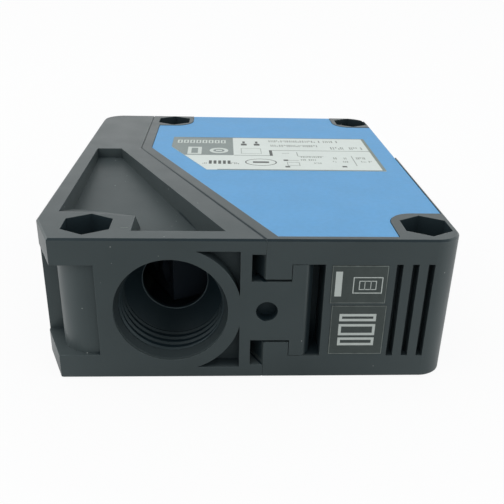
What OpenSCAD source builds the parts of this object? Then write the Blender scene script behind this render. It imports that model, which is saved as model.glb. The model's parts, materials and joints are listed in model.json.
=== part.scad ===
// Compact retroreflective photoelectric sensor with a screwed terminal chamber.
// It lies on its side as in use on a bench: X runs from the terminal cover's back to the
// optical face, Y from the cable-entry end to the control end, and Z through the thickness.
// All lengths are in millimetres.

/* [Body] */
// Width, from the back of the terminal cover to the optical face
body_w = 63; // [62:0.5:70]
// Length, from the cable-entry end to the control end
body_l = 74.5; // [74:0.5:82]
// Thickness
body_t = 23.5; // [23:0.5:27]
// Wall of the moulded housing
wall = 2.2; // [1.8:0.1:2.4]
// Upright corner radius beside the front slots
front_corner_r = 3.9; // [2:0.1:4.5]
// Upright corner radius at the control end
rear_corner_r = 4.4; // [2:0.1:4.8]
// Small bevel on the outer edges
edge_bevel = 0.3; // [0.1:0.05:0.5]

/* [Seam] */
// Where the seam meets the cable-entry end, from the cover's back
seam_front_x = 34.2; // [33:0.1:35]
// Where the seam runs straight to the control end, from the cover's back
seam_rear_x = 11.4; // [11:0.1:12]
// Where the slanted seam turns straight, from the cable-entry end
seam_knee_y = 46.2; // [44:0.2:48]
// Gap between the cover and the housing
seam_gap = 0.06; // [0.04:0.02:0.2]
// Small bevel along the seam on the two large faces
seam_bevel = 0.14; // [0.08:0.01:0.2]

/* [Mounting holes] */
// Radius of the screw holes
hole_r = 2.2; // [2:0.05:2.4]
// Width across the flats of the nut pockets
nut_af = 7.05; // [7:0.05:7.3]
// Depth of the nut pockets
nut_depth = 3.4; // [2.8:0.1:4]
// Hole in the cover, from its back
cover_hole_x = 7.9; // [7.5:0.1:8.5]
// Both holes at the cable-entry end, from that end
front_hole_y = 5.55; // [5.2:0.05:6]
// Holes on the optical side, from the optical face
side_hole_in = 4.4; // [4.2:0.1:5]
// Hole beside the seam at the control end, from the seam
rear_hole_in = 5.2; // [5:0.1:5.6]
// Both holes at the control end, from that end
rear_hole_y = 4.5; // [4.4:0.1:5]

/* [Terminal cover] */
// Wall round the cable entry
cover_front_wall = 3.4; // [3:0.1:4]
// Rim beside the sunken field
field_rim = 2.7; // [2.2:0.1:3]
// Rib between the sunken field and the seam
field_rib = 3.9; // [3.4:0.1:4.4]
// Near end of the sunken field, from the cable-entry end
field_start_y = 3; // [2.8:0.1:3.4]
// Far end of the sunken field, from the cable-entry end
field_end_y = 45.5; // [43:0.5:47]
// Depth of the sunken field at the cable-entry end
field_front_depth = 4.4; // [3.6:0.1:4.8]
// Depth of the sunken field at its far end
field_rear_depth = 1.9; // [1.4:0.1:2.4]
// Skin under the sunken field
field_skin = 1.5; // [1.2:0.1:1.8]
// Raised land round the nut pocket, along X
land_x = 14.6; // [13.6:0.1:15]
// Raised land round the nut pocket, along Y at its side
land_y = 8.8; // [8.6:0.1:9.6]
// How much further the land reaches at the rim
land_skew = 1.8; // [1.2:0.1:2.4]
// Length of the ramp behind the land, at its side
ramp_l = 4.8; // [4:0.2:7]
// Length of the ramp at the rim
ramp_rim_l = 10; // [8:0.5:12]
// Flanges above and below the corner notch
flange_t = 4.15; // [3.8:0.05:4.4]
// Corner notch, along X
notch_x = 9.4; // [9:0.1:10]
// Corner notch, along Y
notch_y = 8; // [7:0.1:8.4]
// Screw barrel that shows in the corner notch
barrel_r = 4.85; // [4.6:0.05:5.2]
// Corner chamfer, along X
chamfer_x = 3.2; // [2.4:0.1:3.4]
// Corner chamfer, along Y
chamfer_y = 7.5; // [6:0.1:7.8]

/* [Cable entry] */
// Axis of the cable entry, from the cover's back
entry_x = 20.25; // [20:0.05:20.5]
// Radius of the plain lead-in
entry_lead_r = 8.53; // [8.4:0.01:8.8]
// Length of the plain lead-in
entry_lead_l = 2; // [1.5:0.1:2.5]
// Wall radius of the threaded hole
entry_r = 8; // [7.9:0.01:8.1]
// End of the thread, from the cable-entry end
thread_end = 7.2; // [6.5:0.1:7.6]
// End of the conical seat behind the thread, from the cable-entry end
seat_end = 10.5; // [10:0.1:11]
// Cable hole behind the conical seat
cable_r = 5.3; // [4.5:0.1:6]
// Length of the cable hole
cable_l = 0.8; // [0.5:0.1:1]
// Tube round the thread, inside the cover
entry_tube_r = 9.4; // [9.2:0.1:9.7]
// Ring round the cable entry that the corner pockets leave
entry_ring_r = 10.55; // [10.2:0.05:10.8]
// Depth of the two corner pockets
pocket_depth = 2.4; // [1.8:0.1:2.5]
// Right edge of the corner pockets, from the cover's back
pocket_edge_x = 30.5; // [30:0.1:30.8]
// Ends of the corner pockets, from the middle plane
pocket_half_z = 9.85; // [9.5:0.05:10.2]

/* [Tongue] */
// Half height of the tongue's stem
stem_half = 5; // [4.5:0.1:5.4]
// Half height of the tongue's head
head_half = 7.75; // [7.4:0.05:8]
// Stem length, from the seam to the head
stem_l = 3.9; // [3.4:0.1:4.4]
// Head width
head_w = 3.2; // [2.6:0.1:3.4]
// Tongue thickness
tongue_t = 2.6; // [2.2:0.1:2.8]
// Slanted flank of the head, along X
head_slant_w = 0.85; // [0.6:0.05:1]
// Slanted flank of the head, along Y
head_slant_d = 1.4; // [1:0.1:1.8]
// Softer slant where the flank meets the head's face
head_brow = 0.3; // [0.2:0.05:0.4]
// Gap round the stem
stem_gap = 0.4; // [0.2:0.05:0.6]
// Gap round the head
head_gap = 0.1; // [0.06:0.02:0.2]
// Groove beside the head that takes the screwdriver
groove_w = 1.6; // [1.4:0.1:2]
// Depth of that groove
groove_d = 5.6; // [4:0.1:6]
// Space behind the tongue
tongue_room = 0.8; // [0.4:0.1:1]
// Windows beside the stem, along X
lock_window_w = 2.05; // [1.6:0.05:2.4]
// Ends of the windows, from the middle plane
lock_window_half = 9.4; // [9:0.1:9.6]
// Radius of the blind hole in the tongue
dimple_r = 1.65; // [1.2:0.05:1.9]
// Blind hole in the tongue, from the seam
dimple_in = 0.35; // [0:0.05:0.6]
// Depth of the blind hole in the tongue
dimple_depth = 2; // [1:0.1:2.2]

/* [Front slots and stickers] */
// Width of each slot
slot_w = 1; // [0.8:0.1:1.2]
// Spacing of the slots
slot_pitch = 2.35; // [2.2:0.05:2.5]
// Slot nearest to the optical face, from that face
slot_edge = 4; // [3.6:0.1:4.4]
// Half height of the slots
slot_half = 7.87; // [7:0.1:8.2]
// Depth of the slots
slot_depth = 2.2; // [1:0.1:2.4]
// Lower sticker, from the groove beside the tongue
sticker_gap = 1.35; // [1.1:0.05:2]
// Upper sticker, along Z
sticker_upper_h = 6.2; // [5.5:0.1:6.4]
// Lower sticker, along Z
sticker_lower_h = 8.5; // [7:0.1:8.6]
// Upper sticker, its lower edge above the middle plane
sticker_upper_z = 1.5; // [1.3:0.1:1.6]
// Lower sticker, its lower edge below the middle plane
sticker_lower_z = 7.45; // [7.2:0.05:7.6]
// Stickers, from the slots
sticker_in = 0.8; // [0.6:0.1:1]
// How far the upper sticker sits askew
sticker_shift = 0.35; // [0:0.05:0.5]
// Sticker thickness
sticker_t = 0.16; // [0.1:0.02:0.2]
// How far the stickers are let into the wall
sticker_sink = 0.1; // [0.04:0.02:0.1]

/* [Side plate] */
// Thickness of the coloured side plate
plate_t = 0.3; // [0.2:0.05:0.4]
// Thickness of the type plate on it
type_t = 0.1; // [0.06:0.02:0.14]
// Border of housing between the seam and the side plate
plate_seam_border = 2.1; // [1.6:0.1:2.6]
// Border along the cable-entry end
plate_front_border = 1.3; // [1:0.1:1.6]
// Border along the optical face, beside the slots
plate_side_border = 0.55; // [0.4:0.05:0.8]
// Border along the control end and the optical face, beside the window
plate_rear_border = 0.2; // [0.1:0.05:0.4]
// Reach of the cut-out round the nut pocket at the cable-entry end
plate_notch = 5.1; // [4.6:0.1:5.4]
// Reach of the cut-outs round the nut pockets at the control end
plate_rear_notch = 4.5; // [4.3:0.1:5]
// Corner radius of those cut-outs
plate_notch_r = 4; // [2:0.2:4.4]
// Type plate, from the seam
type_seam_border = 6.05; // [5:0.1:7]
// Type plate, its near end from the cable-entry end
type_start_y = 32.3; // [30:0.5:36]
// Type plate, its far end from the cable-entry end
type_end_y = 55; // [52:0.5:58]
// Type plate, from the optical face
type_side_border = 4.2; // [3.5:0.1:6]

/* [Optics] */
// Where the window side steps in, from the control end
step_rear = 32.4; // [31.9:0.1:32.9]
// How far the window side steps in
step_in = 0.35; // [0.2:0.05:0.5]
// Window, along Y
window_l = 21.6; // [21:0.1:22]
// Rim above and below the window
window_rim = 2; // [1.9:0.1:2.4]
// Window thickness
window_t = 1.6; // [1.2:0.1:1.8]
// Corner radius of the window
window_r = 1.5; // [0.8:0.1:2]
// Lip that the window sits on
window_lip = 1.3; // [1:0.1:1.5]
// Thickness of that lip
lip_t = 1.1; // [0.8:0.1:1.4]
// Thickness of the window's seal
window_seal_t = 0.3; // [0.2:0.05:0.4]
// Radius of each lens
lens_r = 4.5; // [4.2:0.05:4.6]
// Spacing of the two lenses
lens_pitch = 9.9; // [9.8:0.1:10.2]
// Thickness of a lens at its rim
lens_rim = 1.2; // [0.8:0.1:1.6]
// Height of a lens's crown over its rim
lens_crown = 1.3; // [0.8:0.1:1.4]
// Thickness of the polarising filters
filter_t = 0.3; // [0.2:0.05:0.4]
// Length of the lens tubes
tube_l = 15.4; // [14:0.2:16]
// Radius of the lens tubes behind the lenses
tube_r = 4; // [3.6:0.1:4.1]

/* [Boards] */
// Board thickness
board_t = 1.6; // [1.2:0.1:1.8]
// Height of the standing pillars under the main board
pillar_h = 4.8; // [4:0.1:5.2]
// Radius of those pillars
pillar_r = 2; // [1.8:0.1:2.2]
// Board screw radius
screw_r = 0.9; // [0.8:0.05:1]
// Relay, along X, Y and Z
relay_size = [10, 18.5, 10];
// Radius of the storage capacitor
capacitor_r = 4; // [3:0.25:4.5]
// Height of the storage capacitor
capacitor_h = 10.5; // [8:0.5:11]
// Side length of the control chip
chip_w = 7; // [5:0.5:8]
// Height of the control chip
chip_h = 1.2; // [1:0.1:1.6]
// Control chip, in from the board's edge
chip_in = 6; // [5:0.5:7]
// Pillars, in from the board's edges
pillar_in = 3.5; // [3.2:0.1:4]
// Board screw head, its height
screw_head_h = 1.1; // [0.8:0.1:1.3]

/* [Terminals] */
// Number of terminals
terminals = 5; // [4:1:5]
// Spacing of the terminals
terminal_pitch = 5; // [4.8:0.1:5.2]
// Terminal block, out from the partition
block_d = 9.2; // [8.6:0.1:9.6]
// Terminal block, along Z
block_h = 8.4; // [8:0.1:9]
// Start of the terminal block, along the slanted seam
block_start = 20; // [19:0.5:21]
// Space under the terminal block
block_room = 0.4; // [0.2:0.1:0.8]
// Partition thickness
partition_t = 1.6; // [1.2:0.1:1.8]
// Seal thickness
seal_t = 1.5; // [1.2:0.1:1.8]
// Width of the seal and of the cover's rim that presses on it
rim_w = 1.4; // [1.2:0.1:1.6]
// How far the cover's rim reaches into the housing
rim_in = 1.1; // [0.8:0.1:1.3]

/* [Controls] */
// Radius of the adjusters' heads
adjuster_r = 2.9; // [2.4:0.1:3.1]
// Thickness of the adjusters' heads
adjuster_t = 1.2; // [1:0.1:1.3]
// Radius of the adjusters' spindles
spindle_r = 1.5; // [1.2:0.05:1.7]
// Clearance of the adjusters in the housing
spindle_gap = 0.06; // [0.03:0.01:0.1]
// How far the spindles reach into the parts under them
spindle_in = 1.4; // [1:0.1:1.6]
// Width of the parts under the adjusters
switch_w = 7; // [6.2:0.1:7.2]
// Length of the parts under the adjusters
switch_l = 5.4; // [4.8:0.1:5.6]
// Length of the adjusters' bearings in the wall
bearing_l = 3.2; // [3:0.1:3.4]
// Radius of the light pipes
pipe_r = 1.4; // [1.2:0.05:1.5]
// How far the light pipes reach in from the wall
pipe_in = 2.4; // [2:0.1:3]
// Collar of the light pipes
pipe_collar = 0.6; // [0.4:0.1:0.8]
// Width of the light-emitting parts behind the light pipes
led_w = 2.4; // [2:0.1:2.8]
// Thickness of those parts
led_t = 1.1; // [0.8:0.1:1.3]

/* [Hidden] */
$fn = 72;
over = 1;
mid_z = body_t / 2;
optical_x = body_w - step_in;
step_y = body_l - step_rear;
window_h = body_t - 2 * window_rim;

seam_k = (seam_front_x - seam_rear_x) / seam_knee_y;
seam_n = sqrt(1 + seam_k * seam_k);
seam_angle = atan2(1, -seam_k);

cover_hole = [cover_hole_x, front_hole_y];
front_hole = [body_w - side_hole_in, front_hole_y];
rear_hole = [body_w - side_hole_in, body_l - rear_hole_y];
seam_hole = [seam_rear_x + rear_hole_in, body_l - rear_hole_y];
column_r = nut_af / 2 + 1.7;

// The groove starts where the tongue's head ends
groove_x = seam_front_x + stem_l + head_w;

// The opening of the housing behind the seam
opening_y0 = tongue_t + tongue_room + 2.2;
opening_y1 = seam_hole[1] - column_r - 0.8;
ring_z = wall + 0.2;
partition_off = rim_in + seal_t;
inside_off = partition_off + partition_t;
ledge_w = 1.2;
ledge_h = 1;

// The window and the carrier behind it
window_y = (step_y + rear_hole[1] - column_r) / 2 + 0.25;
lip_x = optical_x - window_t - window_seal_t;
carrier_x = lip_x - lip_t;
carrier_back = carrier_x - tube_l;
carrier_l = 2 * lens_pitch + 1;
filter_step = 0.3;

// The main board and what stands on it
board_z = wall + pillar_h;
board_top = board_z + board_t;
board_off = inside_off + ledge_w + 0.4;
board_y0 = front_hole[1] + column_r + 1;
board_x1 = carrier_back - board_t - 0.3;
board_gap = 0.6;
part_gap = 1;
screw_head_r = 1.7;
control_y = body_l - wall;
optics_low_y = window_y - window_l / 2 - wall - board_gap;

clamp_size = [3.4, 4.6, 5];
clamp_back = 1.2;
clamp_wall = 0.5;
pin_w = 0.8;
pin_in = 2.5;
thread_r = 1.2;
thread_tip = 2.6;
terminal_head_r = 1.85;
terminal_head_h = 1.5;
block_low_y = (block_start - 0.5 - (block_d - partition_off) * seam_k) / seam_n;
head_well = adjuster_t + 0.25;
switch_y1 = control_y + wall - bearing_l - part_gap / 5;

// The controls stand evenly spaced between the columns of the two holes at the control end
control_low = seam_hole[0] + column_r;
control_high = rear_hole[0] - column_r;
collar_r = pipe_r + pipe_collar;
control_space = (control_high - control_low - 2 * switch_w - 4 * collar_r) / 5;
adjusters = [for (i = [0, 1]) control_low + control_space + switch_w / 2 + i * (control_space + switch_w)];
indicators = [for (i = [0, 1]) control_high - control_space - collar_r - (1 - i) * (control_space + 2 * collar_r)];

// Place along Y where the seam's line, moved by a distance into the housing, turns
function knee_y(off) = (seam_front_x - seam_rear_x + off * (seam_n - 1)) / seam_k;

// Place along X of that line
function seam_x(y, off) = y < knee_y(off)
    ? seam_front_x - seam_k * y + off * seam_n
    : seam_rear_x + off;

function on_seam(y, off) = [seam_x(y, off), y];

// Outline between two such lines
function seam_band(y0, y1, a, b) = [
    on_seam(y0, a), on_seam(knee_y(a), a), on_seam(y1, a),
    on_seam(y1, b), on_seam(knee_y(b), b), on_seam(y0, b)];

// Depth of the sunken field, and of the chamber's roof under it
function field_depth(y) = field_rear_depth
    + (field_end_y - y) * (field_front_depth - field_rear_depth) / (field_end_y - field_start_y);

// Middle of the terminal block, clear of the chamber's floor
terminal_z = field_depth(block_low_y) + field_skin + block_room + block_h / 2;
pin_z = board_top - terminal_z;

// Moves a piece from its place off the cover's corner to the part's own frame
module place() {
    translate([-body_w / 2, -body_l / 2, 0]) children();
}

// The same shape on both sides of the middle plane
module both_sides() {
    children();
    translate([0, 0, body_t]) mirror([0, 0, 1]) children();
}

// What a rounded corner takes off a plan; turn is the way into the body
module corner_cut(corner, turn, r) {
    difference() {
        translate([corner[0] + turn[0] * (r - over) / 2, corner[1] + turn[1] * (r - over) / 2])
            square(r + over, center = true);
        translate([corner[0] + turn[0] * r, corner[1] + turn[1] * r]) circle(r);
    }
}

module body_plan() {
    difference() {
        square([body_w, body_l]);
        corner_cut([body_w, 0], [-1, 1], front_corner_r);
        corner_cut([optical_x, body_l], [-1, -1], rear_corner_r);
        corner_cut([0, body_l], [1, -1], rear_corner_r);
        polygon([[-over, -over], [chamfer_x + over * chamfer_x / chamfer_y, -over],
            [chamfer_x, 0], [0, chamfer_y], [-over, chamfer_y + over * chamfer_y / chamfer_x]]);
        translate([optical_x, step_y]) square([over, body_l]);
    }
}

// A plan of everything on the cover's side of the seam, moved by a distance
module cover_side(off) {
    polygon([[-over, -over], on_seam(-over, off), on_seam(knee_y(off), off),
        on_seam(body_l + over, off), [-over, body_l + over]]);
}

module cover_plan() {
    intersection() {
        body_plan();
        cover_side(-seam_gap / 2);
    }
}

module housing_plan() {
    difference() {
        body_plan();
        cover_side(seam_gap / 2);
    }
}

// A column round a mounting hole, run out square to the body's corner
module column_plan(hole, corner, r = column_r) {
    translate(hole) circle(r);
    for (reach = [[r, 0], [0, r]]) {
        low = [min(hole[0] - (corner[0] > hole[0] ? reach[0] : 0), corner[0]),
            min(hole[1] - (corner[1] > hole[1] ? reach[1] : 0), corner[1])];
        high = [max(hole[0] + (corner[0] < hole[0] ? reach[0] : 0), corner[0]),
            max(hole[1] + (corner[1] < hole[1] ? reach[1] : 0), corner[1])];
        translate(low) square(high - low);
    }
}

// A mounting hole with a nut pocket at each end
module mounting_hole(hole) {
    translate([hole[0], hole[1], -over]) cylinder(r = hole_r, h = body_t + 2 * over);
    both_sides()
        translate([hole[0], hole[1], -over])
            rotate([0, 0, 30])
                cylinder(d = nut_af / cos(30), h = nut_depth + over, $fn = 6);
}

// The bevel of a straight edge at the lower face, from one point of the plan to the next
module straight_bevel(from, to, b = edge_bevel, before = over, after = over) {
    run = to - from;
    translate([from[0], from[1], 0])
        rotate([0, 0, atan2(run[1], run[0])])
            rotate([90, 0, 90])
                translate([0, 0, -before])
                    linear_extrude(norm(run) + before + after)
                        bevel_section(b);
}

// The bevel of a rounded corner at the lower face
module round_bevel(centre, r, turn) {
    translate([centre[0], centre[1], 0])
        rotate([0, 0, turn])
            rotate_extrude(angle = 90)
                translate([r, 0]) mirror([1, 0]) bevel_section(edge_bevel);
}

module bevel_section(b) {
    polygon([[-over, b + over], [-over, -over], [b + over, -over]]);
}

// The bevels beside the seam at the lower face; they just meet where the seam turns
module housing_seam_bevels() {
    off = seam_gap / 2;
    knee = on_seam(knee_y(off), off);
    straight_bevel(on_seam(body_l, off), knee, seam_bevel, over, seam_bevel / 4);
    straight_bevel(knee, on_seam(0, off), seam_bevel, seam_bevel / 4, over);
}

module cover_seam_bevels() {
    off = -seam_gap / 2;
    knee = on_seam(knee_y(off), off);
    straight_bevel(on_seam(0, off), knee, seam_bevel, over, seam_bevel / 4);
    straight_bevel(knee, on_seam(body_l, off), seam_bevel, seam_bevel / 4, over);
}

// Turns a section about the axis of the cable entry, its second value running into the body
module entry_turned() {
    translate([entry_x, 0, mid_z]) rotate([-90, 0, 0]) rotate_extrude() children();
}

// The tube round the cable entry, grown by a distance
module entry_tube(grow = 0) {
    tip_r = cable_r + entry_tube_r - entry_r;
    entry_turned()
        polygon([[0, 0], [entry_tube_r + grow, 0], [entry_tube_r + grow, thread_end],
            [tip_r + grow, seat_end + cable_l], [0, seat_end + cable_l]]);
}

module entry_hole() {
    entry_turned()
        polygon([[0, -over], [entry_lead_r, -over], [entry_lead_r, entry_lead_l],
            [entry_r, entry_lead_l], [entry_r, thread_end], [cable_r, seat_end],
            [cable_r, seat_end + cable_l + over], [0, seat_end + cable_l + over]]);
}

// Moves a piece to the slanted seam: x along it, y out of the housing
module along_seam(start) {
    translate([seam_front_x, 0, 0]) rotate([0, 0, seam_angle]) translate([start, 0, 0]) children();
}

module housing_bevels() {
    both_sides() {
        straight_bevel([seam_front_x, 0], [body_w - front_corner_r, 0]);
        round_bevel([body_w - front_corner_r, front_corner_r], front_corner_r, -90);
        straight_bevel([body_w, front_corner_r], [body_w, body_l]);
        straight_bevel([optical_x, step_y], [optical_x, body_l - rear_corner_r]);
        round_bevel([optical_x - rear_corner_r, body_l - rear_corner_r], rear_corner_r, 0);
        straight_bevel([optical_x - rear_corner_r, body_l], [seam_rear_x, body_l]);
        housing_seam_bevels();
    }
}

module housing_cavity() {
    translate([0, 0, wall])
        linear_extrude(body_t - 2 * wall)
            difference() {
                polygon([on_seam(opening_y0, -over), on_seam(knee_y(-over), -over),
                    on_seam(opening_y1, -over), on_seam(opening_y1, inside_off),
                    [seam_x(opening_y1, inside_off), body_l - wall],
                    [optical_x - wall, body_l - wall], [optical_x - wall, wall],
                    [groove_x + groove_w + wall, wall],
                    [groove_x + groove_w + wall, groove_d + wall], [groove_x - wall, groove_d + wall],
                    [groove_x - wall, opening_y0]]);
                column_plan(front_hole, [body_w, 0]);
                column_plan(rear_hole, [body_w, body_l]);
                column_plan(seam_hole, [seam_rear_x, body_l]);
                translate([carrier_x, window_y - window_l / 2 - wall])
                    square([body_w, window_l + 2 * wall]);
            }
}

// The slot in the front wall that takes the cover's tongue
module tongue_slot() {
    depth = tongue_t + tongue_room;
    neck = stem_half + stem_gap;
    head = head_half + head_gap;
    translate([0, -over, mid_z - neck]) cube([seam_front_x + stem_l + over / 2, depth + over, 2 * neck]);
    translate([seam_front_x + stem_l - head_gap, -over, mid_z - head])
        cube([head_w + groove_w + head_gap, depth + over, 2 * head]);
    translate([groove_x, -over, mid_z - head]) cube([groove_w, groove_d + over, 2 * head]);
}

module front_slots() {
    for (i = [0:2])
        translate([body_w - slot_edge - slot_w - i * slot_pitch, -over, mid_z - slot_half])
            cube([slot_w, slot_depth + over, 2 * slot_half]);
}

module sticker_block(upper, depth, clearance = 0) {
    h = upper ? sticker_upper_h : sticker_lower_h;
    panel_x = groove_x + groove_w;
    slots_x = body_w - slot_edge - slot_w - 2 * slot_pitch;
    w = slots_x - sticker_in - panel_x - sticker_gap;
    x = panel_x + sticker_gap - (upper ? sticker_shift : 0);
    z = upper ? mid_z + sticker_upper_z : mid_z - sticker_lower_z;
    translate([x - clearance, sticker_sink - depth, z - clearance])
        cube([w + 2 * clearance, depth, h + 2 * clearance]);
}

// The side plate's outline; the recess in the housing is a little larger
module plate_plan(clearance = 0) {
    c = clearance;
    side = body_w - plate_side_border;
    rear = body_l - plate_rear_border;
    difference() {
        polygon([on_seam(plate_front_border - c, plate_seam_border - c),
            on_seam(knee_y(plate_seam_border - c), plate_seam_border - c),
            on_seam(rear, plate_seam_border - c),
            [seam_x(rear, plate_seam_border - c), rear + c],
            [optical_x - plate_rear_border + c, rear + c],
            [optical_x - plate_rear_border + c, step_y],
            [side + c, step_y], [side + c, plate_front_border - c]]);
        plate_notch_plan(front_hole, [1, -1], plate_notch - c);
        plate_notch_plan(rear_hole, [1, 1], plate_rear_notch - c);
        plate_notch_plan(seam_hole, [-1, 1], plate_rear_notch - c);
    }
}

module plate_notch_plan(hole, turn, reach) {
    far = column_r + over;
    corner = [hole[0] - turn[0] * reach, hole[1] - turn[1] * reach];
    difference() {
        translate([turn[0] > 0 ? corner[0] : corner[0] - reach - far,
            turn[1] > 0 ? corner[1] : corner[1] - reach - far])
            square(reach + far);
        corner_cut(corner, turn, plate_notch_r);
    }
}

module rounded_window(l, h, r) {
    difference() {
        square([l, h], center = true);
        for (x = [-1, 1], y = [-1, 1])
            corner_cut([x * l / 2, y * h / 2], [-x, -y], r);
    }
}

// A prism along X over an outline in the plane of the optical face
module facing_x(x0, x1) {
    translate([x0, window_y, mid_z])
        rotate([90, 0, 90])
            linear_extrude(x1 - x0)
                children();
}

module window_opening() {
    facing_x(lip_x, body_w + over) rounded_window(window_l + 0.1, window_h + 0.1, window_r);
    facing_x(carrier_x - over / 2, lip_x + over)
        rounded_window(window_l - 2 * window_lip, window_h - 2 * window_lip, window_r);
}

module control_bosses() {
    for (x = adjusters)
        translate([x, control_y - bearing_l + wall, mid_z])
            rotate([-90, 0, 0])
                cylinder(r = spindle_r + 1.6, h = bearing_l - wall + over / 2);
}

module control_holes() {
    for (x = adjusters)
        translate([x, 0, mid_z]) rotate([-90, 0, 0]) {
            translate([0, 0, body_l - head_well])
                cylinder(r = adjuster_r + 0.15, h = head_well + over);
            cylinder(r = spindle_r + spindle_gap, h = body_l);
            translate([0, 0, body_l - head_well - 0.9])
                cylinder(r = spindle_r + 0.95, h = 0.9 + over / 2);
        }
    for (x = indicators)
        translate([x, control_y - over, mid_z])
            rotate([-90, 0, 0])
                cylinder(r = pipe_r + 0.05, h = wall + 2 * over);
}

// Places of the pillars under the main board
pillar_x = optical_x - wall - board_gap - pillar_in + 1.2;
pillars = [
    on_seam(board_y0 + pillar_in, board_off + pillar_in),
    [pillar_x, board_y0 + pillar_in],
    [pillar_x, optics_low_y - pillar_in],
    [seam_x(opening_y1, board_off + pillar_in), opening_y1 - board_gap - pillar_in]];

module pillar_cylinders(r, z0, z1) {
    for (p = pillars)
        translate([p[0], p[1], z0]) cylinder(r = r, h = z1 - z0);
}

module partition_ledges() {
    both_sides()
        translate([0, 0, wall - over / 2])
            linear_extrude(ledge_h + over / 2)
                polygon(seam_band(opening_y0 + 2, opening_y1 - 1, inside_off, inside_off + ledge_w));
}

module housing() {
    color("#2a2d2f") place()
        difference() {
            union() {
                difference() {
                    linear_extrude(body_t) housing_plan();
                    housing_cavity();
                }
                partition_ledges();
                pillar_cylinders(pillar_r, wall - over / 2, board_z);
                control_bosses();
            }
            tongue_slot();
            front_slots();
            sticker_block(true, sticker_sink + over, 0.04);
            sticker_block(false, sticker_sink + over, 0.04);
            translate([0, 0, body_t - plate_t - type_t]) linear_extrude(over) plate_plan(0.08);
            for (hole = [front_hole, rear_hole, seam_hole]) mounting_hole(hole);
            window_opening();
            control_holes();
            pillar_cylinders(screw_r, board_z - pillar_h + 0.8, board_z + over);
            housing_bevels();
        }
}

// The sunken field on one side of the cover, cut down from the lower face
module sunken_field() {
    y0 = field_start_y;
    edge = -field_rib;
    difference() {
        intersection() {
            translate([0, 0, -over])
                linear_extrude(body_t)
                    polygon([[field_rim, y0], on_seam(y0, edge),
                        [seam_x(field_end_y, edge), field_end_y], [field_rim, field_end_y]]);
            rotate([90, 0, 90])
                linear_extrude(body_w)
                    polygon([[y0 - over, -2 * over], [field_end_y + over, -2 * over],
                        [field_end_y + over, field_depth(field_end_y + over)],
                        [y0 - over, field_depth(y0 - over)]]);
        }
        land();
        entry_tube();
    }
}

// The raised land round the nut pocket, with a ramp that is longer at the rim than at the land's side
module land() {
    rim_x = field_rim - over;
    rim_y = land_y + land_skew;
    translate([0, 0, -2 * over])
        linear_extrude(2 * over)
            polygon([[rim_x, -over], [land_x, -over], [land_x, land_y], [rim_x, rim_y]]);
    hull() {
        land_section(rim_x, rim_y, ramp_rim_l);
        land_section(land_x - land_slice, land_y, ramp_l);
    }
}

land_slice = 0.05;
module land_section(x, y, l) {
    translate([x, 0, 0])
        rotate([90, 0, 90])
            linear_extrude(land_slice)
                polygon([[-over, 0], [y, 0], [y + l, field_depth(y + l)],
                    [y + l, field_front_depth + over], [-over, field_front_depth + over]]);
}

// The chamber inside the cover
module terminal_chamber() {
    y0 = cover_front_wall;
    y1 = body_l - wall;
    turn_y = field_end_y + 2;
    difference() {
        intersection() {
            linear_extrude(body_t)
                difference() {
                    intersection() {
                        translate([wall, y0]) square([body_w, y1 - y0]);
                        cover_side(over);
                    }
                    translate([-over, -over]) square([notch_x + 1.5 + over, notch_y + 1.5 + over]);
                    translate(cover_hole) circle(column_r + 1);
                    corner_cut([wall, y1], [1, -1], rear_corner_r - wall);
                }
            rotate([90, 0, 90])
                linear_extrude(body_w)
                    polygon([[y0, field_depth(y0) + field_skin],
                        [turn_y, field_depth(turn_y) + field_skin],
                        [turn_y, wall], [y1, wall], [y1, body_t - wall], [turn_y, body_t - wall],
                        [turn_y, body_t - field_depth(turn_y) - field_skin],
                        [y0, body_t - field_depth(y0) - field_skin]]);
        }
        entry_tube();
    }
}

// The pockets beside the cable entry
module corner_pockets() {
    difference() {
        translate([entry_x, -over, mid_z - pocket_half_z])
            cube([pocket_edge_x - entry_x, pocket_depth + over, 2 * pocket_half_z]);
        entry_turned()
            polygon([[0, -2 * over], [entry_ring_r, -2 * over],
                [entry_ring_r, pocket_depth + over], [0, pocket_depth + over]]);
    }
}

// The notch in the cover's corner, round the screw barrel
module corner_notch() {
    translate([0, 0, flange_t])
        linear_extrude(body_t - 2 * flange_t)
            difference() {
                translate([-over, -over]) square([notch_x + over, notch_y + over]);
                translate(cover_hole) circle(barrel_r);
                translate([cover_hole[0], cover_hole[1] - barrel_r]) square([notch_x, notch_y]);
            }
}

// The rim that closes on the seal, between two distances from the seam
module seal_ring(a, b) {
    difference() {
        translate([0, 0, ring_z])
            linear_extrude(body_t - 2 * ring_z)
                polygon(seam_band(opening_y0 + 0.2, opening_y1 - 0.2, a, b));
        translate([0, 0, ring_z + rim_w])
            linear_extrude(body_t - 2 * ring_z - 2 * rim_w)
                polygon(seam_band(opening_y0 + 0.2 + rim_w, opening_y1 - 0.2 - rim_w, a - over, b + over));
    }
}

module tongue() {
    translate([0, 0, mid_z - stem_half])
        linear_extrude(2 * stem_half)
            translate([seam_front_x - lock_window_w, 0])
                square([lock_window_w + stem_l + over / 2, tongue_t]);
    translate([0, 0, mid_z - head_half])
        linear_extrude(2 * head_half)
            difference() {
                translate([seam_front_x + stem_l, 0]) square([head_w, tongue_t]);
                polygon([[groove_x - head_slant_w - head_brow, -over],
                    [groove_x - head_slant_w - head_brow, 0], [groove_x - head_slant_w, head_brow / 1.5],
                    [groove_x, head_slant_d], [groove_x + over, head_slant_d], [groove_x + over, -over]]);
            }
}

module lock_windows() {
    both_sides()
        translate([seam_front_x - lock_window_w, -over, mid_z - lock_window_half])
            cube([lock_window_w + over, cover_front_wall + 2 * over, lock_window_half - stem_half]);
}

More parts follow.
